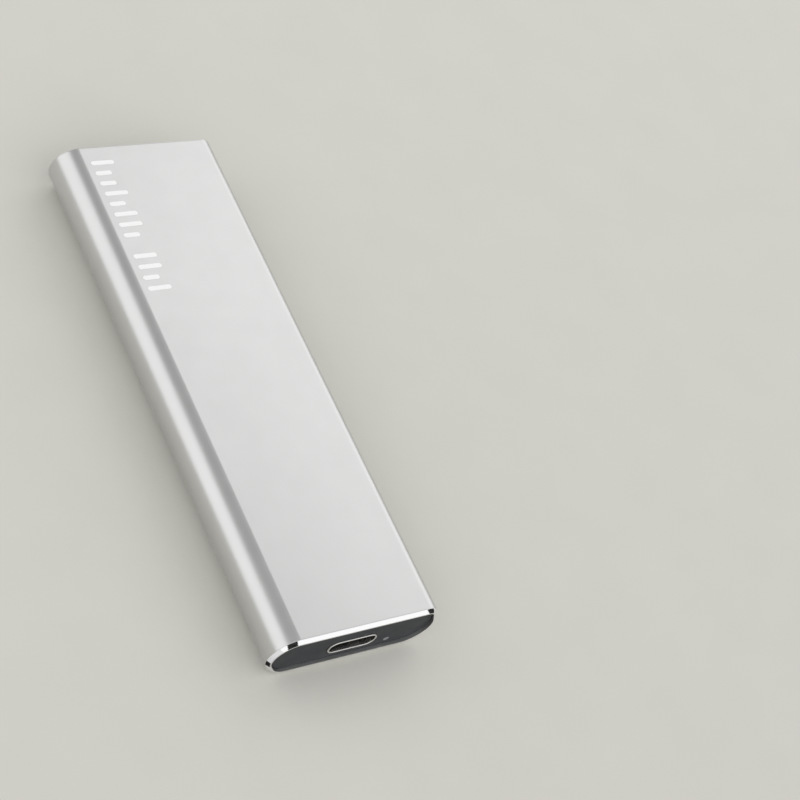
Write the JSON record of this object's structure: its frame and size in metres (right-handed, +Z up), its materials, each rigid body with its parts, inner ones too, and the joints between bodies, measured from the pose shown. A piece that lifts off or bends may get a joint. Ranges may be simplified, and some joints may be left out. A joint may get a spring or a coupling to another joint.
{
  "type": "external solid-state drive",
  "caption": "Slim pocket drive: extruded aluminium sleeve with bright chamfered ends, dark recessed end caps, a USB-C port and an activity light.",
  "frame": {"origin": "middle of the underside", "axes": "+X across the drive, to the right as the port end is seen from the front; +Y along its length, from the port end to the far end; +Z up, from the flat underside to the flat top"},
  "size_m": [0.031, 0.098, 0.01],
  "materials": {
    "sleeve": "bead-blasted and anodised silver, with bright cut chamfers at both ends",
    "front_cap": "fine matt dark grey moulding",
    "rear_cap": "fine matt dark grey moulding",
    "carrier_tray": "matt off-white moulding",
    "bridge_board": "green solder mask",
    "usb_c_shell": "plated steel sheet",
    "usb_c_tongue": "black moulding",
    "usb_c_contacts": "gold plated",
    "light_pipe": "clear to milky, polished",
    "activity_led": "milky white moulding",
    "bridge_chip": "black moulding compound",
    "crystal": "plated can",
    "power_inductor": "dark ferrite",
    "capacitors": "tan ceramic with tinned ends",
    "card_socket": "black moulding",
    "socket_contacts": "gold plated",
    "card_board": "blue solder mask",
    "card_controller": "black moulding compound",
    "card_memory": "black moulding compound",
    "flash_chip_1": "black moulding compound",
    "flash_chip_2": "black moulding compound",
    "thermal_pad": "soft blue-grey silicone",
    "threaded_insert": "turned brass",
    "card_screw": "blackened steel"
  },
  "bodies": {
    "root": {"sleeve": "sleeve", "front_cap": "front_cap", "rear_cap": "rear_cap", "carrier_tray": "carrier_tray", "bridge_board": "bridge_board", "usb_c_shell": "usb_c_shell", "usb_c_tongue": "usb_c_tongue", "usb_c_contacts": "usb_c_contacts", "light_pipe": "light_pipe", "activity_led": "activity_led", "bridge_chip": "bridge_chip", "crystal": "crystal", "power_inductor": "power_inductor", "capacitors": "capacitors", "card_socket": "card_socket", "socket_contacts": "socket_contacts", "card_board": "card_board", "card_controller": "card_controller", "card_memory": "card_memory", "flash_chip_1": "flash_chip_1", "flash_chip_2": "flash_chip_2", "thermal_pad": "thermal_pad", "threaded_insert": "threaded_insert", "card_screw": "card_screw"}
  },
  "joints": []
}
